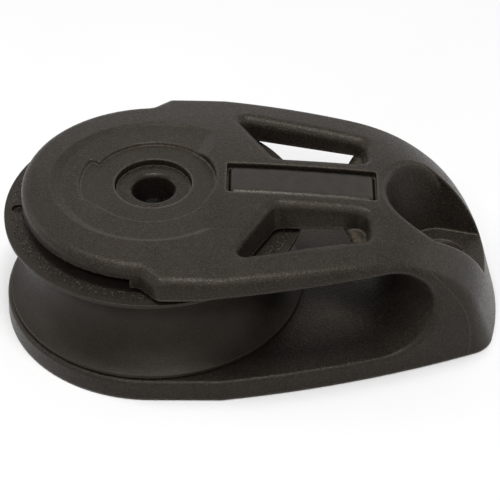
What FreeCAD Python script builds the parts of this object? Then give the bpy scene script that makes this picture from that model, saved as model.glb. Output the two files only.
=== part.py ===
import FreeCAD, Part
import math
import os
import Sketcher

# Foot block: a deck mounted turning block for a sailing boat, one sheave between two cheeks.
# Origin on the axle line at the deck face, +Z up, +X towards the heel, millimetres.

os.makedirs("parts", exist_ok=True)
doc = FreeCAD.newDocument("foot_block")

SIZES = {
    # Moulded housing, plan view
    "lower_cheek_radius": 31.0,
    "straight_reach": 13.7,
    "flank_radius": 222.0,
    "flank_end_reach": 72.0,
    "flank_end_half_width": 14.0,
    "heel_reach": 69.8,
    "heel_end_radius": 52.0,
    "wall_draft": 2.7,
    # Moulded housing, heights
    "lower_cheek_thickness": 4.4,
    "cheek_gap": 20.4,
    "crown_top": 31.7,
    "crown_length_radius": 385.0,
    "crown_width_radius": 170.0,
    # Heel, side view
    "heel_lean": 14.7,
    "heel_shoulder_height": 10.3,
    "heel_brow_radius": 26.0,
    "heel_crease_rounding": 20.0,
    "heel_corner_rounding": 6.0,
    "heel_shoulder_rounding": 5.0,
    # Rope passage in front of the heel
    "passage_reach": 47.0,
    "passage_flare_depth": 10.0,
    "passage_flare_half_width": 20.5,
    "passage_edge_rounding": 2.0,
    # Upper cheek
    "nose_radius": 26.2,
    "shoulder_start": -1.6,
    "shoulder_angle": 45.0,
    "shoulder_inner_rounding": 1.8,
    "shoulder_outer_rounding": 2.0,
    "nose_bevel": 2.2,
    "top_edge_rounding": 2.1,
    "under_edge_rounding": 1.0,
    "lower_edge_rounding": 0.8,
    # Steps round the axle
    "outer_dish_floor_radius": 18.2,
    "outer_dish_draft": 71.0,
    "outer_dish_height": 30.35,
    "outer_dish_end": 8.2,
    "outer_dish_end_half_width": 15.0,
    "inner_dish_radius": 12.5,
    "inner_dish_height": 29.7,
    "dish_edge_rounding": 0.4,
    "tab_radius": 14.6,
    "tab_start_angle": 152.0,
    "tab_end_angle": 202.0,
    "tab_merge_angle": 230.0,
    # Windows in the upper cheek
    "window_left_inner": 24.4,
    "window_left_outer": 17.2,
    "window_right": 42.0,
    "window_inner_half_width": 8.2,
    "window_outer_half_width_left": 21.2,
    "window_outer_half_width_right": 15.0,
    "window_corner_rounding": 2.2,
    "window_tip_rounding": 1.0,
    "window_rim_rounding": 2.0,
    "window_draft": 7.0,
    # Label and its recess
    "label_start": 14.6,
    "label_length": 29.8,
    "label_width": 9.2,
    "label_recess_corner_rounding": 0.6,
    "label_recess_depth": 1.6,
    "label_thickness": 1.1,
    "label_corner_rounding": 1.1,
    "label_bevel": 0.6,
    "label_margin": 0.4,
    # Heel pocket and its screw hole
    "pocket_radius": 8.2,
    "pocket_mouth_half_width": 4.8,
    "pocket_overrun": 2.0,
    "pocket_floor": 11.5,
    "pocket_draft": 12.0,
    "pocket_rim_rounding": 2.0,
    "heel_screw_reach": 58.0,
    "screw_hole_radius": 4.2,
    "screw_hole_chamfer": 0.5,
    # Axle: a tube between the cheeks and a flanged bush through each cheek
    "axle_tube_radius": 7.0,
    "axle_tube_bore_radius": 4.4,
    "bush_radius": 5.8,
    "bush_bore_radius": 4.2,
    "bush_flange_radius": 7.5,
    "bush_flange_thickness": 1.5,
    "bush_depth_in_tube": 2.6,
    "bush_mouth_rounding": 0.9,
    "counterbore_clearance": 0.2,
    "fit_clearance": 0.02,
    "upper_bush_seat_depth": 2.7,
    # Sheave and its bearing sleeve
    "sheave_radius": 30.0,
    "sheave_width": 19.0,
    "sheave_lower_gap": 0.4,
    "sheave_rim_width": 0.7,
    "groove_bottom_radius": 24.2,
    "hub_radius": 12.5,
    "hub_end_gap": 0.15,
    "sleeve_outer_radius": 9.2,
    "sleeve_running_clearance": 0.05,
    "dimple_radius": 1.35,
    "dimple_reach": 27.2,
    "dimple_angle": 182.0,
    "dimple_depth": 0.8,
}

sheet = doc.addObject("Spreadsheet::Sheet", "Sizes")
for row, (alias, value) in enumerate(SIZES.items(), start=1):
    sheet.set("A%d" % row, alias.replace("_", " "))
    sheet.set("B%d" % row, str(value))
    sheet.setAlias("B%d" % row, alias)
doc.recompute()


def size(alias):
    return float(sheet.get(alias))


def value_of(expression):
    return float(sheet.evalExpression(expression))


def origin_plane(body, role):
    return next(item for item in body.Origin.OriginFeatures if item.Role == role)


def new_sketch(body, name, role="XY_Plane", offset=None, turned=False):
    """Sketch on an origin plane; offset maps x, y or z of the plane's own frame to an expression.

    A turned sketch is swung half round its own y axis, so its x runs the other way.
    """
    sketch = body.newObject("Sketcher::SketchObject", name)
    sketch.AttachmentSupport = [(origin_plane(body, role), "")]
    sketch.MapMode = "FlatFace"
    if turned:
        half_turn = FreeCAD.Rotation(FreeCAD.Vector(0, 1, 0), 180)
        sketch.AttachmentOffset = FreeCAD.Placement(FreeCAD.Vector(), half_turn)
    for axis, expression in (offset or {}).items():
        sketch.setExpression("AttachmentOffset.Base." + axis, expression)
    doc.recompute()
    return sketch


def bind_coordinate(sketch, edge, point, direction, expression):
    """Hold one coordinate of a sketch point at an expression's value."""
    if expression == "0":
        axis_line = -2 if direction == "X" else -1
        sketch.addConstraint(Sketcher.Constraint("PointOnObject", edge, point, axis_line))
        return
    start = value_of(expression)
    index = sketch.addConstraint(Sketcher.Constraint("Distance" + direction, edge, point, start))
    sketch.setExpression("Constraints[%d]" % index, expression)


def arc_middle(first, last, radius, side):
    """Middle point of the shorter arc between two points; side +1 bulges to the left of the way."""
    chord = last - first
    half = chord.Length / 2.0
    sagitta = radius - math.sqrt(radius * radius - half * half)
    left = FreeCAD.Vector(-chord.y, chord.x, 0).normalize()
    return (first + last) / 2.0 + left * (sagitta * side)


def draw_outline(sketch, vertices, arcs=None):
    """Closed outline through vertices given as expression pairs.

    arcs maps the number of a side to (radius expression, bulge side); other sides are straight.
    """
    arcs = arcs or {}
    points = [FreeCAD.Vector(value_of(x), value_of(y), 0) for x, y in vertices]
    count = len(points)
    edges = []
    for i in range(count):
        first, last = points[i], points[(i + 1) % count]
        if i in arcs:
            radius, side = arcs[i]
            middle = arc_middle(first, last, value_of(radius), side)
            edges.append(sketch.addGeometry(Part.Arc(first, middle, last)))
        else:
            edges.append(sketch.addGeometry(Part.LineSegment(first, last)))
    starts = []
    for i, edge in enumerate(edges):
        near = (sketch.getPoint(edge, 1) - points[i]).Length
        far = (sketch.getPoint(edge, 2) - points[i]).Length
        starts.append(1 if near <= far else 2)
    for i, edge in enumerate(edges):
        following = (i + 1) % count
        end = 3 - starts[i]
        joint = Sketcher.Constraint("Coincident", edge, end, edges[following], starts[following])
        sketch.addConstraint(joint)
    for i, (x, y) in enumerate(vertices):
        bind_coordinate(sketch, edges[i], starts[i], "X", x)
        bind_coordinate(sketch, edges[i], starts[i], "Y", y)
    for i, (radius, _) in arcs.items():
        index = sketch.addConstraint(Sketcher.Constraint("Radius", edges[i], value_of(radius)))
        sketch.setExpression("Constraints[%d]" % index, radius)


def draw_circle(sketch, radius, x="0", y="0"):
    centre = FreeCAD.Vector(value_of(x), value_of(y), 0)
    circle = Part.Circle(centre, FreeCAD.Vector(0, 0, 1), value_of(radius))
    edge = sketch.addGeometry(circle)
    bind_coordinate(sketch, edge, 3, "X", x)
    bind_coordinate(sketch, edge, 3, "Y", y)
    index = sketch.addConstraint(Sketcher.Constraint("Radius", edge, value_of(radius)))
    sketch.setExpression("Constraints[%d]" % index, radius)


def add_feature(body, kind, name, sketch, expressions=None, **settings):
    """Sketch based feature with its sizes bound to expressions."""
    feature = body.newObject("PartDesign::" + kind, name)
    feature.Profile = sketch
    for key, value in settings.items():
        setattr(feature, key, value)
    for key, expression in (expressions or {}).items():
        feature.setExpression(key, expression)
    doc.recompute()
    sketch.Visibility = False
    return feature


def edges_of(shape, test):
    return ["Edge%d" % (i + 1) for i, edge in enumerate(shape.Edges) if test(edge)]


def dress_edges(body, kind, name, test, expression):
    """Constant fillet or chamfer on the edges of the body's tip that pass a test."""
    base = body.Tip
    feature = body.newObject("PartDesign::" + kind, name)
    feature.Base = (base, edges_of(base.Shape, test))
    feature.setExpression("Radius" if kind == "Fillet" else "Size", expression)
    doc.recompute()
    return feature


def new_body(name):
    body = doc.addObject("PartDesign::Body", name)
    body.Label = name
    return body


def mirrored(vertices):
    """Vertices of an outline mirrored in the long axis, listed in the same turning direction."""
    return [(x, "-(%s)" % y) for x, y in reversed(vertices)]


UNDERSIDE = "(Sizes.lower_cheek_thickness + Sizes.cheek_gap)"
MID_GAP = "(Sizes.lower_cheek_thickness + Sizes.cheek_gap / 2)"
HEEL_AXIS = "(Sizes.heel_reach - Sizes.heel_end_radius)"
FLARE_RADIUS = (
    "((Sizes.passage_flare_half_width ^ 2 + Sizes.passage_flare_depth ^ 2)"
    " / (2 * Sizes.passage_flare_depth))"
)
# Places outside the part, where a cut starts or ends
CLEAR_OF_PART = "(2 * Sizes.lower_cheek_radius)"
CLEAR_OF_HEEL = "(Sizes.heel_end_radius + Sizes.heel_brow_radius)"
CLEAR_OF_ENDS = "(Sizes.heel_reach + Sizes.lower_cheek_radius)"
BELOW_PART = "-Sizes.lower_cheek_thickness"
# Edges are found by their end points, to within this length
EDGE_TOLERANCE = 0.05
# Edges that stand up are corners between walls: at least this long, leaning by at most so many degrees
SHORTEST_CORNER = 1.0
STEEPEST_LEAN = 18.0


def housing_form():
    """The main moulding before its edges are rounded and its recesses cut."""
    body = new_body("housing_form")

    outline = new_sketch(body, "plan_outline")
    radius = "Sizes.lower_cheek_radius"
    draw_outline(
        outline,
        [
            ("0", radius),
            ("-" + radius, "0"),
            ("0", "-" + radius),
            ("Sizes.straight_reach", "-" + radius),
            ("Sizes.flank_end_reach", "-Sizes.flank_end_half_width"),
            ("Sizes.flank_end_reach", "Sizes.flank_end_half_width"),
            ("Sizes.straight_reach", radius),
        ],
        {
            0: (radius, -1),
            1: (radius, -1),
            3: ("Sizes.flank_radius", -1),
            5: ("Sizes.flank_radius", -1),
        },
    )
    add_feature(
        body, "Pad", "block", outline,
        {"Length": "Sizes.crown_top", "TaperAngle": "-Sizes.wall_draft"},
    )

    heel = new_sketch(body, "heel_profile", "XZ_Plane", {"x": HEEL_AXIS})
    lean = "tan(Sizes.heel_lean)"
    foot = "(Sizes.heel_end_radius - Sizes.heel_shoulder_height * %s)" % lean
    brow_centre_r = "(%s - Sizes.heel_brow_radius * cos(Sizes.heel_lean))" % foot
    brow_centre_z = "(Sizes.heel_shoulder_height - Sizes.heel_brow_radius * sin(Sizes.heel_lean))"
    brow_top = "(%s + Sizes.heel_brow_radius)" % brow_centre_z
    draw_outline(
        heel,
        [
            ("Sizes.heel_end_radius + Sizes.lower_cheek_thickness * " + lean, BELOW_PART),
            (foot, "Sizes.heel_shoulder_height"),
            (brow_centre_r, brow_top),
            (brow_centre_r, CLEAR_OF_PART),
            (CLEAR_OF_HEEL, CLEAR_OF_PART),
            (CLEAR_OF_HEEL, BELOW_PART),
        ],
        {1: ("Sizes.heel_brow_radius", -1)},
    )
    groove = add_feature(
        body, "Groove", "heel_end", heel,
        ReferenceAxis=(heel, ["V_Axis"]), Angle=120.0, Midplane=True,
    )

    cut_crown(body)

    passage = new_sketch(
        body, "passage_profile", "XZ_Plane", {"x": "Sizes.passage_reach + " + FLARE_RADIUS}
    )
    straight_end = "(-%s - Sizes.cheek_gap / 2)" % FLARE_RADIUS
    open_end = "(%s - %s)" % (straight_end, CLEAR_OF_ENDS)
    draw_outline(
        passage,
        [
            (open_end, "Sizes.lower_cheek_thickness"),
            (straight_end, "Sizes.lower_cheek_thickness"),
            ("-" + FLARE_RADIUS, MID_GAP),
            (straight_end, UNDERSIDE),
            (open_end, UNDERSIDE),
        ],
        {1: ("Sizes.cheek_gap / 2", -1), 2: ("Sizes.cheek_gap / 2", -1)},
    )
    add_feature(
        body, "Groove", "rope_passage", passage,
        ReferenceAxis=(passage, ["V_Axis"]), Angle=120.0, Midplane=True,
    )
    cut_nose(body)
    round_shoulders(body)
    bevel_nose(body)
    dress_edges(body, "Fillet", "heel_crease", crosses_heel, "Sizes.heel_crease_rounding")
    return body


def cut_crown(body):
    """Trim the top to a crown that is barrel shaped along the part and across it."""
    across, along = "Sizes.crown_width_radius", "Sizes.crown_length_radius"
    profile = new_sketch(body, "crown_profile", "XZ_Plane", {"y": "Sizes.crown_top - " + across})
    end_height = "(%s - %s + sqrt(%s ^ 2 - %s ^ 2))" % (across, along, along, CLEAR_OF_ENDS)
    draw_outline(
        profile,
        [
            ("-" + CLEAR_OF_ENDS, end_height),
            (CLEAR_OF_ENDS, end_height),
            (CLEAR_OF_ENDS, "%s + %s" % (across, CLEAR_OF_PART)),
            ("-" + CLEAR_OF_ENDS, "%s + %s" % (across, CLEAR_OF_PART)),
        ],
        {0: (along, 1)},
    )
    add_feature(
        body, "Groove", "crown", profile,
        ReferenceAxis=(profile, ["H_Axis"]), Angle=60.0, Midplane=True,
    )


def end_points(edge):
    return [vertex.Point for vertex in edge.Vertexes]


def lowest(edge):
    return min(point.z for point in end_points(edge))


def highest(edge):
    return max(point.z for point in end_points(edge))


def near(value, target):
    return abs(value - target) < EDGE_TOLERANCE


def is_upright(edge):
    """An edge between two walls, leaning by no more than their draft gives it."""
    rise = highest(edge) - lowest(edge)
    span = (edge.Vertexes[0].Point - edge.Vertexes[-1].Point).Length
    return rise > SHORTEST_CORNER and rise > math.cos(math.radians(STEEPEST_LEAN)) * span


def crosses_part(edge):
    """An edge that runs from one side of the part to the other, behind the sheave."""
    first, last = edge.Vertexes[0].Point, edge.Vertexes[-1].Point
    return first.y * last.y < 0 and first.x > size("straight_reach")


def cut_nose(body):
    """The upper cheek steps in to a round nose over a slanting shoulder on each side."""
    plan = new_sketch(body, "nose_plan", "XY_Plane", {"z": MID_GAP})
    radius = "Sizes.nose_radius"
    foot_width = "sqrt(%s ^ 2 - Sizes.shoulder_start ^ 2)" % radius
    step = "(2 * (Sizes.lower_cheek_radius - %s))" % radius
    head = "(Sizes.shoulder_start + %s / tan(Sizes.shoulder_angle))" % step
    draw_outline(
        plan,
        [
            ("Sizes.shoulder_start", foot_width),
            (head, "(%s + %s)" % (foot_width, step)),
            (head, CLEAR_OF_PART),
            ("-" + CLEAR_OF_PART, CLEAR_OF_PART),
            ("-" + CLEAR_OF_PART, "-" + CLEAR_OF_PART),
            (head, "-" + CLEAR_OF_PART),
            (head, "-(%s + %s)" % (foot_width, step)),
            ("Sizes.shoulder_start", "-" + foot_width),
            ("-" + radius, "0"),
        ],
        {7: (radius, 1), 8: (radius, 1)},
    )
    add_feature(body, "Pocket", "nose", plan, Type="ThroughAll", Reversed=True)


def round_shoulders(body):
    """Rounding at the foot and at the head of the slanting shoulders."""
    half_way = (size("nose_radius") + size("lower_cheek_radius")) / 2

    def at_shoulder(edge):
        above = lowest(edge) > value_of(UNDERSIDE) - EDGE_TOLERANCE
        return above and is_upright(edge) and abs(edge.Vertexes[0].X) < size("straight_reach") / 2

    def at_foot(edge):
        return at_shoulder(edge) and math.hypot(edge.Vertexes[0].X, edge.Vertexes[0].Y) < half_way

    def at_head(edge):
        return at_shoulder(edge) and math.hypot(edge.Vertexes[0].X, edge.Vertexes[0].Y) > half_way

    dress_edges(body, "Fillet", "shoulder_feet", at_foot, "Sizes.shoulder_inner_rounding")
    dress_edges(body, "Fillet", "shoulder_heads", at_head, "Sizes.shoulder_outer_rounding")


def bevel_nose(body):
    """Bevel under the nose that ends where the shoulders start."""
    profile = new_sketch(body, "nose_bevel_profile", "XZ_Plane", turned=True)
    radius = "Sizes.nose_radius"
    draw_outline(
        profile,
        [
            (radius + " - Sizes.nose_bevel", MID_GAP),
            (CLEAR_OF_PART, MID_GAP),
            (CLEAR_OF_PART, UNDERSIDE + " + Sizes.nose_bevel"),
            (radius, UNDERSIDE + " + Sizes.nose_bevel"),
            (radius + " - Sizes.nose_bevel", UNDERSIDE),
        ],
    )
    start = "(Sizes.shoulder_start - Sizes.shoulder_inner_rounding)"
    add_feature(
        body, "Groove", "nose_bevel", profile,
        {"Angle": "180 deg + 2 * asin(%s / %s)" % (start, radius)},
        ReferenceAxis=(profile, ["V_Axis"]), Midplane=True,
    )


def crosses_heel(edge):
    return crosses_part(edge) and lowest(edge) > value_of(UNDERSIDE) + EDGE_TOLERANCE


def chain_radii(shape, first, rest):
    """Radii for a chain of edges, each item (number, radius at its start, radius at its end).

    The kernel runs along the chain in the direction of the first edge's own parameter, so both
    radii of every item change places where that edge is drawn from the top down.
    """
    number = first[0]
    edge = shape.Edges[number - 1]
    downwards = edge.valueAt(edge.FirstParameter).z > edge.valueAt(edge.LastParameter).z
    items = [first] + rest
    if downwards:
        return [(number, end, start) for number, start, end in items]
    return items


def round_sides(form):
    """Rounding that runs up both corners of the heel and on round the rim of the upper cheek."""
    base_radius = size("heel_corner_rounding")
    shoulder_radius = size("heel_shoulder_rounding")
    rim_radius = size("top_edge_rounding")
    shoulder = size("heel_shoulder_height")
    underside = value_of(UNDERSIDE)
    side_bottom = value_of(UNDERSIDE + " + Sizes.nose_bevel")
    corners, sides, rim = {}, {}, []
    for number, edge in enumerate(form.Shape.Edges, start=1):
        low, high, side = lowest(edge), highest(edge), edge.Vertexes[0].Y > 0
        if crosses_part(edge):
            continue
        if near(low, 0.0) and near(high, shoulder):
            corners[side] = (number, base_radius, shoulder_radius)
        elif near(low, shoulder) and high > underside:
            sides[side] = (number, shoulder_radius, rim_radius)
        elif low > side_bottom + EDGE_TOLERANCE and not is_upright(edge):
            rim.append((number, rim_radius, rim_radius))
    heel = [chain_radii(form.Shape, corners[side], [sides[side]]) for side in (True, False)]
    return add_roundings(form, "rounded_sides", heel[0] + heel[1] + rim)


def round_passage(rounded):
    """Rounding along the mouth of the rope passage, fullest where the passage ends."""
    floor, underside = size("lower_cheek_thickness"), value_of(UNDERSIDE)
    middle = value_of(MID_GAP)
    low_radius = size("lower_edge_rounding")
    end_radius = size("passage_edge_rounding")
    high_radius = size("under_edge_rounding")
    shoulder_rise = size("lower_cheek_radius") - size("nose_radius")
    shoulder_end = size("shoulder_start") + shoulder_rise / math.tan(math.radians(size("shoulder_angle")))

    def behind_shoulder(edge):
        return min(point.x for point in end_points(edge)) > shoulder_end

    lower_ends, upper_ends, rims = {}, {}, []
    for number, edge in enumerate(rounded.Shape.Edges, start=1):
        low, high, side = lowest(edge), highest(edge), edge.Vertexes[0].Y > 0
        if crosses_part(edge):
            continue
        if near(low, floor) and near(high, middle):
            lower_ends[side] = (number, low_radius, end_radius)
        elif near(low, middle) and near(high, underside):
            upper_ends[side] = (number, end_radius, high_radius)
        elif near(low, floor) and near(high, floor):
            rims.append((number, low_radius, low_radius))
        elif near(low, underside) and near(high, underside) and behind_shoulder(edge):
            rims.append((number, high_radius, high_radius))
    ends = [chain_radii(rounded.Shape, lower_ends[side], [upper_ends[side]]) for side in (True, False)]
    return add_roundings(rounded, "rounded_passage", ends[0] + ends[1] + rims)


def add_roundings(base, name, radii):
    """Fillets of variable radius, given as (edge number, first radius, last radius)."""
    fillet = doc.addObject("Part::Fillet", name)
    fillet.Base = base
    fillet.Edges = radii
    doc.recompute()
    base.Visibility = False
    return fillet


def open_upwards(body, name, level, draw):
    """Remove what stands above a level inside an outline."""
    outline = new_sketch(body, name + "_outline", "XY_Plane", {"z": level})
    draw(outline)
    return add_feature(body, "Pocket", name, outline, Type="ThroughAll", Reversed=True)


def cut_dishes(body):
    """A wide shallow dish with sloping sides, then a small deeper one with a tab to the left."""
    dish = new_sketch(body, "outer_dish_outline", "XY_Plane", {"z": "Sizes.outer_dish_height"})
    radius, half_width = "Sizes.outer_dish_floor_radius", "Sizes.outer_dish_end_half_width"
    reach = "sqrt(%s ^ 2 - %s ^ 2)" % (radius, half_width)
    inner = ("Sizes.outer_dish_end", "Sizes.outer_dish_end")
    draw_outline(
        dish,
        [
            (reach, half_width),
            ("-" + radius, "0"),
            (reach, "-" + half_width),
            (inner[0], "-" + inner[1]),
            inner,
        ],
        {0: (radius, -1), 1: (radius, -1)},
    )
    add_feature(
        body, "Pocket", "outer_dish", dish,
        {
            "Length": "Sizes.crown_top - Sizes.outer_dish_height",
            "TaperAngle": "Sizes.outer_dish_draft",
        },
        Reversed=True,
    )

    def draw_tab(sketch):
        tab, dish_radius = "Sizes.tab_radius", "Sizes.inner_dish_radius"
        corners = [(tab, "tab_start_angle"), (tab, "tab_end_angle"), (dish_radius, "tab_merge_angle")]
        outline = [("%s * cos(Sizes.%s)" % corner, "%s * sin(Sizes.%s)" % corner) for corner in corners]
        draw_outline(sketch, [("0", "0")] + outline, {1: (tab, -1)})

    level = "Sizes.inner_dish_height"
    open_upwards(body, "inner_dish", level, lambda sketch: draw_circle(sketch, "Sizes.inner_dish_radius"))
    open_upwards(body, "tab", level, draw_tab)
    smallest = size("inner_dish_radius") - EDGE_TOLERANCE
    largest = size("tab_radius") + EDGE_TOLERANCE
    floor = size("inner_dish_height")

    def is_dish_edge(edge):
        reaches = [math.hypot(point.x, point.y) for point in end_points(edge)]
        beside = smallest < min(reaches) and max(reaches) < largest
        return beside and lowest(edge) > floor + EDGE_TOLERANCE

    dress_edges(body, "Fillet", "dish_edges", is_dish_edge, "Sizes.dish_edge_rounding")


def cut_bush_seats(body):
    """Hole for the bushes through both cheeks, and a seat for a flange at each end of it."""
    bush = "Sizes.bush_radius + Sizes.fit_clearance"
    flange = "Sizes.bush_flange_radius + Sizes.counterbore_clearance"
    open_upwards(body, "axle_hole", BELOW_PART, lambda sketch: draw_circle(sketch, bush))
    seat = "Sizes.inner_dish_height - Sizes.upper_bush_seat_depth"
    open_upwards(body, "upper_bush_seat", seat, lambda sketch: draw_circle(sketch, flange))
    lower = new_sketch(body, "lower_bush_seat_outline", "XY_Plane", {"z": "Sizes.bush_flange_thickness"})
    draw_circle(lower, flange)
    add_feature(body, "Pocket", "lower_bush_seat", lower, Type="ThroughAll")


def cut_windows(body):
    """Two mirror image windows through the upper cheek, one each side of the label."""
    corners = [
        ("Sizes.window_left_inner", "Sizes.window_inner_half_width"),
        ("Sizes.window_left_outer", "Sizes.window_outer_half_width_left"),
        ("Sizes.window_right", "Sizes.window_outer_half_width_right"),
        ("Sizes.window_right", "Sizes.window_inner_half_width"),
    ]

    def draw(sketch):
        draw_outline(sketch, corners)
        draw_outline(sketch, mirrored(corners))

    outlines = new_sketch(body, "window_outlines", "XY_Plane", {"z": UNDERSIDE})
    draw(outlines)
    add_feature(
        body, "Pocket", "windows", outlines,
        {"Length": "Sizes.crown_top - " + UNDERSIDE, "TaperAngle": "Sizes.window_draft"},
        Reversed=True,
    )
    right_half_width = size("window_outer_half_width_right")
    tip_half_width = size("window_outer_half_width_left")
    rounding = size("window_rim_rounding")
    room = rounding + size("window_corner_rounding")

    def in_window(edge):
        points = end_points(edge)
        left, right = size("window_left_outer") - room, size("window_right") + room
        inner, outer = size("window_inner_half_width") - rounding, tip_half_width + room
        return all(left < point.x < right and inner < abs(point.y) < outer for point in points)

    def is_tip(edge):
        far_out = abs(edge.Vertexes[0].Y) > (right_half_width + tip_half_width) / 2
        return far_out and is_upright(edge) and in_window(edge)

    def is_corner(edge):
        return is_upright(edge) and in_window(edge) and not is_tip(edge)

    def is_rim(edge):
        above = lowest(edge) > value_of(UNDERSIDE) + rounding
        return above and in_window(edge) and not is_upright(edge)

    dress_edges(body, "Fillet", "window_corners", is_corner, "Sizes.window_corner_rounding")
    dress_edges(body, "Fillet", "window_tips", is_tip, "Sizes.window_tip_rounding")
    dress_edges(body, "Fillet", "window_rims", is_rim, "Sizes.window_rim_rounding")


def crown_height(reach, depth):
    """Height of the crown line at a distance from the axle, lowered by a depth."""
    radius = "Sizes.crown_length_radius"
    return "(Sizes.crown_top - %s + sqrt(%s ^ 2 - (%s) ^ 2) - (%s))" % (radius, radius, reach, depth)


def cut_label_recess(body):
    """Recess for the label, with a floor that runs parallel to the crown."""
    side = new_sketch(body, "label_recess_side", "XZ_Plane")
    start = "Sizes.label_start"
    end = "(Sizes.label_start + Sizes.label_length)"
    depth = "Sizes.label_recess_depth"
    draw_outline(
        side,
        [
            (start, crown_height(start, depth)),
            (end, crown_height(end, depth)),
            (end, CLEAR_OF_PART),
            (start, CLEAR_OF_PART),
        ],
        {0: ("Sizes.crown_length_radius - " + depth, 1)},
    )
    add_feature(body, "Pocket", "label_recess", side, {"Length": "Sizes.label_width"}, Midplane=True)

    def is_corner(edge):
        on_side = near(abs(edge.Vertexes[0].Y), size("label_width") / 2)
        return on_side and is_upright(edge) and lowest(edge) > value_of(UNDERSIDE)

    dress_edges(body, "Fillet", "label_recess_corners", is_corner, "Sizes.label_recess_corner_rounding")


def cut_heel_pocket(body):
    """Pocket round the heel screw, open at the heel, and the screw hole through its floor."""
    pocket = new_sketch(body, "heel_pocket_outline", "XY_Plane", {"z": "Sizes.pocket_floor"})
    depth = "(Sizes.crown_top - Sizes.pocket_floor)"
    radius = "Sizes.pocket_radius"
    screw = "Sizes.heel_screw_reach"
    mouth = "(Sizes.heel_reach + Sizes.pocket_overrun)"
    draw_outline(
        pocket,
        [
            (screw, "-" + radius),
            (mouth, "-Sizes.pocket_mouth_half_width"),
            (mouth, "Sizes.pocket_mouth_half_width"),
            (screw, radius),
            (screw + " - " + radius, "0"),
        ],
        {3: (radius, -1), 4: (radius, -1)},
    )
    add_feature(
        body, "Pocket", "heel_pocket", pocket,
        {
            "Length": depth,
            "TaperAngle": "Sizes.pocket_draft",
        },
        Reversed=True,
    )
    hole = "Sizes.screw_hole_radius"
    open_upwards(body, "heel_screw_hole", BELOW_PART, lambda sketch: draw_circle(sketch, hole, screw))
    floor = size("pocket_floor")
    screw_reach = size("heel_screw_reach")
    rim_radius = value_of("%s + %s * tan(Sizes.pocket_draft)" % (radius, depth))

    def is_hole_mouth(edge):
        points = end_points(edge)
        on_floor = near(lowest(edge), floor) and near(highest(edge), floor)
        reaches = [math.hypot(point.x - screw_reach, point.y) for point in points]
        return on_floor and all(near(reach, size("screw_hole_radius")) for reach in reaches)

    def is_pocket_rim(edge):
        points = end_points(edge)
        beside = all(point.x > screw_reach - rim_radius and abs(point.y) < rim_radius for point in points)
        return beside and lowest(edge) > floor + EDGE_TOLERANCE

    dress_edges(body, "Chamfer", "heel_screw_mouth", is_hole_mouth, "Sizes.screw_hole_chamfer")
    dress_edges(body, "Fillet", "heel_pocket_rim", is_pocket_rim, "Sizes.pocket_rim_rounding")


def housing():
    body = new_body("housing")
    body.BaseFeature = round_passage(round_sides(housing_form()))
    doc.recompute()
    cut_label_recess(body)
    cut_windows(body)
    cut_dishes(body)
    cut_bush_seats(body)
    cut_heel_pocket(body)
    return body


def sheave():
    """Turned sheave with a round groove, hub rings that ride on the cheeks and one moulded dimple."""
    body = new_body("sheave")
    profile = new_sketch(body, "sheave_profile", "XZ_Plane")
    bottom = "(Sizes.lower_cheek_thickness + Sizes.sheave_lower_gap)"
    top = "(%s + Sizes.sheave_width)" % bottom
    hub_bottom = "(Sizes.lower_cheek_thickness + Sizes.hub_end_gap)"
    hub_top = "(%s - Sizes.hub_end_gap)" % UNDERSIDE
    bore, hub, rim = "Sizes.sleeve_outer_radius", "Sizes.hub_radius", "Sizes.sheave_radius"
    half_groove = "(Sizes.sheave_width / 2 - Sizes.sheave_rim_width)"
    groove_depth = "(%s - Sizes.groove_bottom_radius)" % rim
    groove_radius = "((%s ^ 2 + %s ^ 2) / (2 * %s))" % (half_groove, groove_depth, groove_depth)
    draw_outline(
        profile,
        [
            (bore, hub_bottom),
            (hub, hub_bottom),
            (hub, bottom),
            (rim, bottom),
            (rim, bottom + " + Sizes.sheave_rim_width"),
            (rim, top + " - Sizes.sheave_rim_width"),
            (rim, top),
            (hub, top),
            (hub, hub_top),
            (bore, hub_top),
        ],
        {4: (groove_radius, 1)},
    )
    add_feature(
        body, "Revolution", "turned_blank", profile, Angle=360.0, ReferenceAxis=(profile, ["V_Axis"])
    )
    dimple_floor = top + " - Sizes.dimple_depth"
    open_upwards(
        body, "dimple", dimple_floor,
        lambda sketch: draw_circle(
            sketch, "Sizes.dimple_radius",
            "Sizes.dimple_reach * cos(Sizes.dimple_angle)", "Sizes.dimple_reach * sin(Sizes.dimple_angle)",
        ),
    )
    return body


def revolved(name, vertices):
    """Body turned about the axle line from a half section of (radius, height) expressions."""
    body = new_body(name)
    profile = new_sketch(body, name + "_profile", "XZ_Plane")
    draw_outline(profile, vertices)
    add_feature(
        body, "Revolution", "turned", profile, Angle=360.0, ReferenceAxis=(profile, ["V_Axis"])
    )
    return body


def bearing_sleeve():
    bottom = "(Sizes.lower_cheek_thickness + Sizes.sheave_lower_gap)"
    top = "(%s + Sizes.sheave_width)" % bottom
    bore = "(Sizes.axle_tube_radius + Sizes.sleeve_running_clearance)"
    outside = "Sizes.sleeve_outer_radius"
    return revolved("bearing_sleeve", [(bore, bottom), (outside, bottom), (outside, top), (bore, top)])


def axle_tube():
    """Spacer tube between the cheeks, counterbored at both ends for the bushes."""
    low, high = "Sizes.lower_cheek_thickness", UNDERSIDE
    bore, outside = "Sizes.axle_tube_bore_radius", "Sizes.axle_tube_radius"
    socket = "(Sizes.bush_radius + Sizes.fit_clearance)"
    depth = "(Sizes.bush_depth_in_tube + Sizes.fit_clearance)"
    return revolved(
        "axle_tube",
        [
            (socket, low),
            (outside, low),
            (outside, high),
            (socket, high),
            (socket, "%s - %s" % (high, depth)),
            (bore, "%s - %s" % (high, depth)),
            (bore, "%s + %s" % (low, depth)),
            (socket, "%s + %s" % (low, depth)),
        ],
    )


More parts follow.
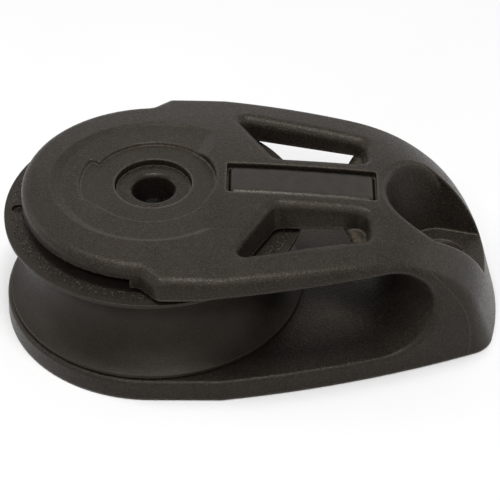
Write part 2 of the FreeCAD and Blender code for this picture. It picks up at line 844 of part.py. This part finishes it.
def bush(name, face, seat, end):
    """Flanged bush from the outer face of its flange to the end of its tube."""
    bore, tube, flange = "Sizes.bush_bore_radius", "Sizes.bush_radius", "Sizes.bush_flange_radius"
    return revolved(
        name,
        [
            (bore, face),
            (flange, face),
            (flange, seat),
            (tube, seat),
            (tube, end),
            (bore, end),
        ],
    )


def upper_bush():
    seat = "(Sizes.inner_dish_height - Sizes.upper_bush_seat_depth)"
    face = "(%s + Sizes.bush_flange_thickness)" % seat
    end = "(%s - Sizes.bush_depth_in_tube)" % UNDERSIDE
    body = bush("upper_bush", face, seat, end)

    def is_mouth(edge):
        box = edge.BoundBox
        on_face = near(box.ZMin, value_of(face)) and near(box.ZMax, value_of(face))
        return on_face and near(box.XMax, size("bush_bore_radius"))

    dress_edges(body, "Fillet", "mouth", is_mouth, "Sizes.bush_mouth_rounding")
    return body


def lower_bush():
    """Bush whose flange ends flush with the deck face."""
    end = "(Sizes.lower_cheek_thickness + Sizes.bush_depth_in_tube)"
    return bush("lower_bush", "0", "Sizes.bush_flange_thickness", end)


def label():
    """Flat badge that lies on the floor of its recess, with a bevel round its top."""
    body = new_body("label")
    side = new_sketch(body, "label_side", "XZ_Plane")
    start = "(Sizes.label_start + Sizes.label_margin)"
    end = "(Sizes.label_start + Sizes.label_length - Sizes.label_margin)"
    below = "Sizes.label_recess_depth"
    above = "(Sizes.label_recess_depth - Sizes.label_thickness)"
    radius = "Sizes.crown_length_radius - (%s)"
    draw_outline(
        side,
        [
            (start, crown_height(start, below)),
            (end, crown_height(end, below)),
            (end, crown_height(end, above)),
            (start, crown_height(start, above)),
        ],
        {0: (radius % below, 1), 2: (radius % above, -1)},
    )
    width = "Sizes.label_width - 2 * Sizes.label_margin"
    add_feature(body, "Pad", "blank", side, {"Length": width}, Midplane=True)
    dress_edges(body, "Fillet", "corners", is_upright, "Sizes.label_corner_rounding")
    half_way = "Sizes.label_recess_depth - Sizes.label_thickness / 2"

    def is_top(edge):
        return all(p.z > value_of(crown_height("%f" % p.x, half_way)) for p in end_points(edge))

    dress_edges(body, "Chamfer", "bevel", is_top, "Sizes.label_bevel")
    return body


PARTS = [
    housing(),
    label(),
    sheave(),
    bearing_sleeve(),
    axle_tube(),
    upper_bush(),
    lower_bush(),
]

doc.recompute()
for item in doc.Objects:
    if "Invalid" in item.State or "Error" in item.State:
        raise RuntimeError("%s is in state %s" % (item.Label, item.State))
for body in PARTS:
    if body.Shape.isNull() or not body.Shape.isValid() or len(body.Shape.Solids) != 1:
        raise RuntimeError("%s is not one valid solid" % body.Label)
    body.Shape.exportStep(os.path.join("parts", body.Label + ".step"))
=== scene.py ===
import math

import bpy
from mathutils import Matrix, Vector


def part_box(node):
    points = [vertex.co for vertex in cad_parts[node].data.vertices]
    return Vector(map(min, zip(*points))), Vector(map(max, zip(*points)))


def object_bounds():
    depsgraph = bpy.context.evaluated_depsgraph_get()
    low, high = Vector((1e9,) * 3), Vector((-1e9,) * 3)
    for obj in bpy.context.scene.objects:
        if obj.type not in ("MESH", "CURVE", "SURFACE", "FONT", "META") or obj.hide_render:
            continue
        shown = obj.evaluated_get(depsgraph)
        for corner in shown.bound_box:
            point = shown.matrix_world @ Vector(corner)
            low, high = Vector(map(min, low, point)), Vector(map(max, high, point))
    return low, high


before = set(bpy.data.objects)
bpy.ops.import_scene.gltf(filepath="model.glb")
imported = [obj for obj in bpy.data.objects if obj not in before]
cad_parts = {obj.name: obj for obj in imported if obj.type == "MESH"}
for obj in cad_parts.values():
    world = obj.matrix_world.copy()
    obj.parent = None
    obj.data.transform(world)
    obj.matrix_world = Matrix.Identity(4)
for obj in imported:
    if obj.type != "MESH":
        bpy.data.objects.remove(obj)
cad_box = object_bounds()

# Lengths are metres; texture coordinates are turned into millimetres before any pattern.
MM = 0.001

# Share of light that each black plastic scatters back
HOUSING_LEVEL = 0.0125
BUSH_LEVEL = 0.011
SHEAVE_LEVEL = 0.014

# What the plastics and the lacquer mirror, and its faintly brown tint
PLASTIC_MIRROR = 0.17
LACQUER_MIRROR = 0.36
WARM_SHEEN = (1.0, 0.90, 0.79, 1.0)

# Softening of sharp edges, and how far from them wear and a painted edge highlight reach, in millimetres
HOUSING_EDGE = 0.4
HOUSING_WEAR_AND_HIGHLIGHT = 0.9
SHEAVE_EDGE = 0.2
SHEAVE_WEAR_AND_HIGHLIGHT = 0.35
LABEL_EDGE = 1.5

# The sheave's flange pattern lies between two radii in millimetres; ticks are counted per radian
FLANGE_BAND = (26.0, 28.8)
FLANGE_FADE = 0.3
FLANGE_TICKS = 36.0
TURNING_MARKS = 8.0

# The heel's seam: its reach at deck height, its lean and bend as it rises, and where it stops
SEAM_REACH = 62.86
SEAM_LEAN = -0.169
SEAM_BEND = 0.0234
SEAM_TOP = 23.5
SEAM_TOP_FADE = 2.0
SEAM_CLEAR_WIDTH = 12.5
SEAM_CLEAR_FADE = 1.0
SEAM_CORE = 0.04
SEAM_HALF_WIDTH = 0.16

# The floor's own glow and the surroundings' light, where 1 is white, and the floor's size and gap
FLOOR_GLOW = 0.02
WORLD_LEVEL = 0.20
FLOOR_HALF = 6.0
FLOOR_GAP = 0.0002

# Each lamp's name, place, width and height, and power in watts; all are turned to one target
LAMP_TARGET = (0.02, 0.0, 0.015)
LAMPS = (
    ("overhead", (-0.02, -0.06, 0.82), (0.45, 0.16), 5.0),
    ("front", (-0.02, -0.55, 0.66), (0.5, 0.08), 1.3),
    ("right", (0.75, 0.30, 0.30), (0.3, 0.3), 0.5),
    ("left", (-0.75, 0.15, 0.35), (0.3, 0.4), 0.9),
)

# The photograph's camera, fitted to the object's outline: degrees, millimetres, and its own pixels
CAMERA_AZIMUTH = 1.04337
CAMERA_ELEVATION = 40.2008
CAMERA_ROLL = -0.4821505
CAMERA_DISTANCE = 420.827
CAMERA_ALONG = 19.0101
CAMERA_ABOVE = 9.3932
FOCAL_PIXELS = 2023.9445
PHOTO_PIXELS = 500.0
SENSOR_WIDTH = 36.0


class Graph:
    """The nodes of a new material or world, with short calls to add and link them."""

    def __init__(self, owner, output):
        self.owner = owner
        owner.use_nodes = True
        self.tree = owner.node_tree
        self.tree.nodes.clear()
        self.output = self.add(output)

    def add(self, kind, **settings):
        node = self.tree.nodes.new(kind)
        for key, value in settings.items():
            setattr(node, key, value)
        return node

    def link(self, source, target):
        self.tree.links.new(source, target)

    def put(self, socket, value):
        """Sets a socket to a plain value or links another socket to it."""
        if isinstance(value, bpy.types.NodeSocket):
            self.link(value, socket)
        else:
            socket.default_value = value

    def millimetres(self):
        coordinates = self.add("ShaderNodeTexCoord")
        scaled = self.add("ShaderNodeVectorMath", operation="SCALE")
        self.link(coordinates.outputs["Object"], scaled.inputs[0])
        scaled.inputs["Scale"].default_value = 1.0 / MM
        return scaled.outputs[0]

    def stretch(self, vector, factors):
        """A vector multiplied axis by axis, which draws a pattern out along an axis."""
        node = self.add("ShaderNodeVectorMath", operation="MULTIPLY")
        self.link(vector, node.inputs[0])
        node.inputs[1].default_value = factors
        return node.outputs[0]

    def split(self, vector):
        node = self.add("ShaderNodeSeparateXYZ")
        self.link(vector, node.inputs[0])
        return node.outputs["X"], node.outputs["Y"], node.outputs["Z"]

    def noise(self, vector, scale, detail=2.0, roughness=0.5):
        node = self.add("ShaderNodeTexNoise")
        self.link(vector, node.inputs["Vector"])
        node.inputs["Scale"].default_value = scale
        node.inputs["Detail"].default_value = detail
        node.inputs["Roughness"].default_value = roughness
        return node.outputs["Fac"]

    def cells(self, vector, scale):
        node = self.add("ShaderNodeTexVoronoi")
        self.link(vector, node.inputs["Vector"])
        node.inputs["Scale"].default_value = scale
        return node.outputs["Distance"]

    def math(self, operation, first, second=0.0):
        node = self.add("ShaderNodeMath", operation=operation)
        self.put(node.inputs[0], first)
        self.put(node.inputs[1], second)
        return node.outputs[0]

    def spread(self, value, low, high, out_low=0.0, out_high=1.0):
        """Maps low to out_low and high to out_high, smoothly between them and flat outside."""
        node = self.add("ShaderNodeMapRange")
        node.interpolation_type = "SMOOTHSTEP"
        self.put(node.inputs["Value"], value)
        node.inputs["From Min"].default_value = low
        node.inputs["From Max"].default_value = high
        node.inputs["To Min"].default_value = out_low
        node.inputs["To Max"].default_value = out_high
        return node.outputs["Result"]

    def mix(self, factor, first, second):
        node = self.add("ShaderNodeMix", data_type="RGBA")
        self.put(node.inputs[0], factor)
        self.put(node.inputs[6], first)
        self.put(node.inputs[7], second)
        return node.outputs[2]

    def bump(self, height, distance, normal=None):
        node = self.add("ShaderNodeBump")
        self.put(node.inputs["Height"], height)
        node.inputs["Distance"].default_value = distance * MM
        node.inputs["Strength"].default_value = 1.0
        if normal is not None:
            self.link(normal, node.inputs["Normal"])
        return node.outputs["Normal"]

    def soft_edges(self, radius):
        """Normals that turn softly over sharp edges."""
        node = self.add("ShaderNodeBevel", samples=8)
        node.inputs["Radius"].default_value = radius * MM
        return node.outputs["Normal"]

    def edge_mask(self, radius):
        """1 along sharp edges, 0 on open faces: where edges are worn and also painted lighter as a painted
        highlight.
        """
        rounded = self.soft_edges(radius)
        geometry = self.add("ShaderNodeNewGeometry")
        dot = self.add("ShaderNodeVectorMath", operation="DOT_PRODUCT")
        self.link(rounded, dot.inputs[0])
        self.link(geometry.outputs["Normal"], dot.inputs[1])
        return self.spread(dot.outputs["Value"], 0.998, 0.95)

    def finish(self, colour, roughness, normal, **sockets):
        shader = self.add("ShaderNodeBsdfPrincipled")
        self.put(shader.inputs["Base Color"], colour)
        self.put(shader.inputs["Roughness"], roughness)
        self.put(shader.inputs["Normal"], normal)
        for name, value in sockets.items():
            shader.inputs[name.replace("_", " ")].default_value = value
        self.link(shader.outputs[0], self.output.inputs["Surface"])
        return self.owner


def material_graph(name):
    return Graph(bpy.data.materials.new(name), "ShaderNodeOutputMaterial")


def world_graph(name):
    return Graph(bpy.data.worlds.new(name), "ShaderNodeOutputWorld")


def tone(level, warmth=0.0):
    """A grey, drawn towards brown by its warmth."""
    return (level * (1 + warmth), level, level * (1 - warmth), 1.0)


def dark(level):
    """The faintly brown black of glass filled plastic."""
    return tone(level, 0.22)


def moulded_plastic(name, level, grain=1.0, roughness=0.33, seam=False):
    """Glass filled plastic from a spark eroded mould: coarse grain, flow clouds, and edges painted lighter
    as wear and as a painted highlight.
    """
    g = material_graph(name)
    mm = g.millimetres()
    clouds = g.noise(mm, 0.13, 4.0, 0.62)
    coarse = g.noise(mm, 1.6, 3.0, 0.6)
    fine = g.noise(mm, 3.6, 3.0, 0.65)
    pits = g.cells(mm, 2.3)
    edge_wear_and_highlight = g.math("MULTIPLY", g.edge_mask(HOUSING_WEAR_AND_HIGHLIGHT), g.spread(coarse, 0.25, 0.6))
    shade = g.mix(g.spread(clouds, 0.30, 0.70), dark(level * 0.80), dark(level * 1.20))
    speckled = g.mix(g.math("MULTIPLY", g.spread(fine, 0.48, 0.66), 0.9), shade, dark(level * 3.1))
    # Edges painted lighter: partly wear, partly a painted highlight along the rounded edges
    colour = g.mix(g.math("MULTIPLY", edge_wear_and_highlight, 0.9), speckled, dark(level * 4.5))
    height = g.math("ADD", g.math("MULTIPLY", coarse, 0.55),
                    g.math("ADD", g.math("MULTIPLY", fine, 0.45), g.math("MULTIPLY", pits, 0.3)))
    if seam:
        ridge = heel_seam(g, mm)
        height = g.math("ADD", height, g.math("MULTIPLY", ridge, 1.5))
        # The seam is painted lighter too: a painted highlight along its thin ridge
        colour = g.mix(g.math("MULTIPLY", ridge, 0.8), colour, dark(level * 5.0))
    normal = g.bump(height, 0.11 * grain, g.soft_edges(HOUSING_EDGE))
    rough = g.math("SUBTRACT", g.spread(coarse, 0.3, 0.7, roughness - 0.07, roughness + 0.09),
                   g.math("MULTIPLY", edge_wear_and_highlight, 0.12))
    return g.finish(colour, rough, normal, Specular_IOR_Level=PLASTIC_MIRROR, Specular_Tint=WARM_SHEEN)


def heel_seam(g, mm):
    """1 along the fine parting line down each side of the heel, 0 elsewhere."""
    east, north, up = g.split(mm)
    bend = g.math("MULTIPLY", g.math("POWER", up, 2.0), SEAM_BEND)
    lean = g.math("ADD", g.math("MULTIPLY", up, SEAM_LEAN), bend)
    away = g.math("ABSOLUTE", g.math("SUBTRACT", g.math("ADD", east, lean), SEAM_REACH))
    line = g.spread(away, SEAM_HALF_WIDTH, SEAM_CORE)
    outside = g.spread(g.math("ABSOLUTE", north), SEAM_CLEAR_WIDTH, SEAM_CLEAR_WIDTH + SEAM_CLEAR_FADE)
    below = g.spread(up, SEAM_TOP, SEAM_TOP - SEAM_TOP_FADE)
    return g.math("MULTIPLY", g.math("MULTIPLY", line, outside), below)


def sheave_plastic(name, level, roughness=0.40):
    """Turned plastic: close rings round the axle line, and a coarse raised pattern on the flange."""
    g = material_graph(name)
    mm = g.millimetres()
    east, north, up = g.split(mm)
    radius = g.math("SQRT", g.math("ADD", g.math("POWER", east, 2.0), g.math("POWER", north, 2.0)))
    rings = g.math("SINE", g.math("MULTIPLY", g.math("ADD", up, radius), TURNING_MARKS))
    wobble = g.noise(mm, 0.5, 2.0)
    grain = g.noise(mm, 2.2, 4.0, 0.65)
    fine = g.noise(mm, 3.6, 3.0, 0.65)
    clouds = g.noise(mm, 0.14, 4.0, 0.6)
    edge_wear_and_highlight = g.math("MULTIPLY", g.edge_mask(SHEAVE_WEAR_AND_HIGHLIGHT), g.spread(grain, 0.35, 0.6))
    relief = g.math("MULTIPLY", flange_band(g, radius, up), flange_marks(g, east, north, radius, grain))
    shade = g.mix(g.spread(clouds, 0.3, 0.7), dark(level * 0.80), dark(level * 1.20))
    streaked = g.mix(g.math("MULTIPLY", g.spread(fine, 0.48, 0.68), 0.6), shade, dark(level * 2.4))
    # Edges painted lighter as wear and as a painted highlight; the flange ticks take the same lighter
    # colour as their pattern
    colour = g.mix(g.math("MULTIPLY", g.math("MAXIMUM", edge_wear_and_highlight, relief), 0.8), streaked, dark(level * 3.4))
    turned = g.math("MULTIPLY", g.math("MULTIPLY", rings, wobble), 0.05)
    height = g.math("ADD", g.math("ADD", turned, g.math("MULTIPLY", grain, 0.6)),
                    g.math("MULTIPLY", relief, 6.0))
    normal = g.bump(height, 0.10, g.soft_edges(SHEAVE_EDGE))
    rough = g.spread(grain, 0.3, 0.7, roughness - 0.06, roughness + 0.10)
    return g.finish(colour, rough, normal, Specular_IOR_Level=PLASTIC_MIRROR, Specular_Tint=WARM_SHEEN)


def flange_band(g, radius, up):
    """1 on the level ring outside each of the sheave's flanges, 0 elsewhere."""
    lowest, highest = (corner.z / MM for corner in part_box("sheave"))
    above_middle = g.math("ABSOLUTE", g.math("SUBTRACT", up, (lowest + highest) / 2))
    half_width = (highest - lowest) / 2
    outside = g.spread(above_middle, 0.80 * half_width, 0.86 * half_width)
    facing = g.split(g.add("ShaderNodeNewGeometry").outputs["Normal"])
    level = g.spread(g.math("ABSOLUTE", facing[2]), 0.97, 0.995)
    inner, outer = FLANGE_BAND
    ring = g.math("MULTIPLY", g.spread(radius, inner, inner + FLANGE_FADE),
                  g.spread(radius, outer, outer - FLANGE_FADE))
    return g.math("MULTIPLY", g.math("MULTIPLY", ring, outside), level)


def flange_marks(g, east, north, radius, grain):
    """Raised ticks of uneven length and height round the flange, that spell nothing."""
    angle = g.math("ARCTAN2", north, east)
    turns = g.add("ShaderNodeCombineXYZ")
    g.link(g.math("MULTIPLY", angle, FLANGE_TICKS), turns.inputs["X"])
    g.link(g.math("MULTIPLY", radius, 1.5), turns.inputs["Y"])
    ticks = g.spread(g.noise(turns.outputs[0], 1.0, 2.0, 0.5), 0.48, 0.56)
    return g.math("MULTIPLY", ticks, g.spread(grain, 0.25, 0.5))


def glossy_badge(name):
    """Black lacquered badge with a domed edge, faint haze and hairline scratches along it."""
    g = material_graph(name)
    mm = g.millimetres()
    hairlines = g.spread(g.noise(g.stretch(mm, (0.12, 2.6, 1.0)), 1.0, 4.0, 0.7), 0.62, 0.74)
    haze = g.noise(mm, 0.5, 4.0)
    colour = g.mix(g.spread(haze, 0.35, 0.65), dark(0.005), dark(0.010))
    rough = g.math("ADD", g.spread(haze, 0.3, 0.7, 0.16, 0.26), g.math("MULTIPLY", hairlines, 0.12))
    height = g.math("ADD", g.noise(mm, 0.7, 2.0), g.math("MULTIPLY", hairlines, 0.1))
    normal = g.bump(height, 0.03, g.soft_edges(LABEL_EDGE))
    return g.finish(colour, rough, normal, Specular_IOR_Level=LACQUER_MIRROR, Specular_Tint=WARM_SHEEN)


def turned_steel(name):
    """Bare steel with fine turning lines round the axle."""
    g = material_graph(name)
    lines = g.noise(g.stretch(g.millimetres(), (0.4, 0.4, 12.0)), 1.0, 3.0)
    colour = g.mix(g.spread(lines, 0.3, 0.7), tone(0.42), tone(0.58))
    rough = g.spread(lines, 0.3, 0.7, 0.24, 0.36)
    return g.finish(colour, rough, g.bump(lines, 0.01), Metallic=1.0)


def plain_bearing(name):
    """Dull cream bearing plastic with a fine grain."""
    g = material_graph(name)
    grain = g.noise(g.millimetres(), 2.0, 3.0)
    colour = g.mix(g.spread(grain, 0.3, 0.7), (0.42, 0.38, 0.30, 1.0), (0.52, 0.48, 0.39, 1.0))
    rough = g.spread(grain, 0.3, 0.7, 0.4, 0.5)
    return g.finish(colour, rough, g.bump(grain, 0.02))


def set_material(node, material):
    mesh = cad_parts[node].data
    for i in range(len(mesh.materials)):
        mesh.materials[i] = material


housing_plastic = moulded_plastic("housing_plastic", HOUSING_LEVEL, seam=True)
bush_plastic = moulded_plastic("bush_plastic", BUSH_LEVEL, grain=0.35, roughness=0.30)
set_material("housing", housing_plastic)
set_material("label", glossy_badge("label_lacquer"))
set_material("sheave", sheave_plastic("sheave_plastic", SHEAVE_LEVEL))
set_material("bearing_sleeve", plain_bearing("bearing_plastic"))
set_material("axle_tube", turned_steel("axle_steel"))
set_material("upper_bush", bush_plastic)
set_material("lower_bush", bush_plastic)


def shown_white(g):
    """Share of a ray that sees the plain white ground: camera, mirror and glass rays."""
    path = g.add("ShaderNodeLightPath")
    seen = g.math("MAXIMUM", path.outputs["Is Camera Ray"], path.outputs["Is Glossy Ray"])
    return g.math("MAXIMUM", seen, path.outputs["Is Transmission Ray"])


def studio_floor():
    """Pale floor: it takes the object's shadow, and shows white where nothing shades it."""
    g = material_graph("floor_white")
    shade = g.mix(g.noise(g.millimetres(), 0.02, 2.0), tone(0.90), tone(0.94))
    diffuse = g.add("ShaderNodeBsdfDiffuse")
    g.link(shade, diffuse.inputs["Color"])
    glow = g.add("ShaderNodeEmission")
    glow.inputs["Color"].default_value = (1, 1, 1, 1)
    glow.inputs["Strength"].default_value = FLOOR_GLOW
    both = g.add("ShaderNodeAddShader")
    g.link(diffuse.outputs[0], both.inputs[0])
    g.link(glow.outputs[0], both.inputs[1])
    choose = g.add("ShaderNodeMixShader")
    g.link(shown_white(g), choose.inputs[0])
    g.link(diffuse.outputs[0], choose.inputs[1])
    g.link(both.outputs[0], choose.inputs[2])
    g.link(choose.outputs[0], g.output.inputs["Surface"])
    mesh = bpy.data.meshes.new("floor")
    half = FLOOR_HALF
    corners = [(-half, -half, 0), (half, -half, 0), (half, half, 0), (-half, half, 0)]
    mesh.from_pydata(corners, [], [(0, 1, 2, 3)])
    mesh.materials.append(g.owner)
    floor = bpy.data.objects.new("floor", mesh)
    floor.location.z = cad_box[0].z - FLOOR_GAP
    bpy.context.scene.collection.objects.link(floor)


def area_light(name, position, size, power):
    light = bpy.data.lights.new(name, "AREA")
    light.shape = "RECTANGLE"
    light.size, light.size_y = size
    light.energy = power
    lamp = bpy.data.objects.new(name, light)
    lamp.location = position
    way = Vector(LAMP_TARGET) - Vector(position)
    lamp.rotation_mode = "QUATERNION"
    lamp.rotation_quaternion = way.to_track_quat("-Z", "Y")
    bpy.context.scene.collection.objects.link(lamp)


def studio_world():
    """Even grey surroundings that light the object, and that it mirrors as white."""
    g = world_graph("studio")
    background = g.add("ShaderNodeBackground")
    background.inputs["Color"].default_value = (1, 1, 1, 1)
    level = g.add("ShaderNodeMapRange")
    level.inputs["To Min"].default_value = WORLD_LEVEL
    level.inputs["To Max"].default_value = 1.0
    g.link(shown_white(g), level.inputs["Value"])
    g.link(level.outputs["Result"], background.inputs["Strength"])
    g.link(background.outputs[0], g.output.inputs["Surface"])
    bpy.context.scene.world = g.owner


def photo_camera():
    """Camera with the photograph's angle, distance and framing."""
    azimuth, elevation, roll = (math.radians(v) for v in (CAMERA_AZIMUTH, CAMERA_ELEVATION, CAMERA_ROLL))
    back = Vector((
        math.sin(azimuth) * math.cos(elevation),
        -math.cos(azimuth) * math.cos(elevation),
        math.sin(elevation),
    ))
    level = Vector((math.cos(azimuth), math.sin(azimuth), 0.0))
    upright = back.cross(level)
    right = level * math.cos(roll) + upright * math.sin(roll)
    up = upright * math.cos(roll) - level * math.sin(roll)
    place = (back * CAMERA_DISTANCE + right * CAMERA_ALONG + up * CAMERA_ABOVE) * MM
    data = bpy.data.cameras.new("camera")
    data.sensor_width = SENSOR_WIDTH
    data.lens = FOCAL_PIXELS / PHOTO_PIXELS * SENSOR_WIDTH
    data.clip_start, data.clip_end = 0.01, 20.0
    camera = bpy.data.objects.new("camera", data)
    camera.matrix_world = Matrix.Translation(place) @ Matrix((
        (right.x, up.x, back.x, 0.0),
        (right.y, up.y, back.y, 0.0),
        (right.z, up.z, back.z, 0.0),
        (0.0, 0.0, 0.0, 1.0),
    ))
    bpy.context.scene.collection.objects.link(camera)
    bpy.context.scene.camera = camera


studio_floor()
studio_world()
for lamp_name, lamp_place, lamp_size, lamp_power in LAMPS:
    area_light(lamp_name, lamp_place, lamp_size, lamp_power)
photo_camera()
bpy.context.scene.view_settings.view_transform = "Standard"
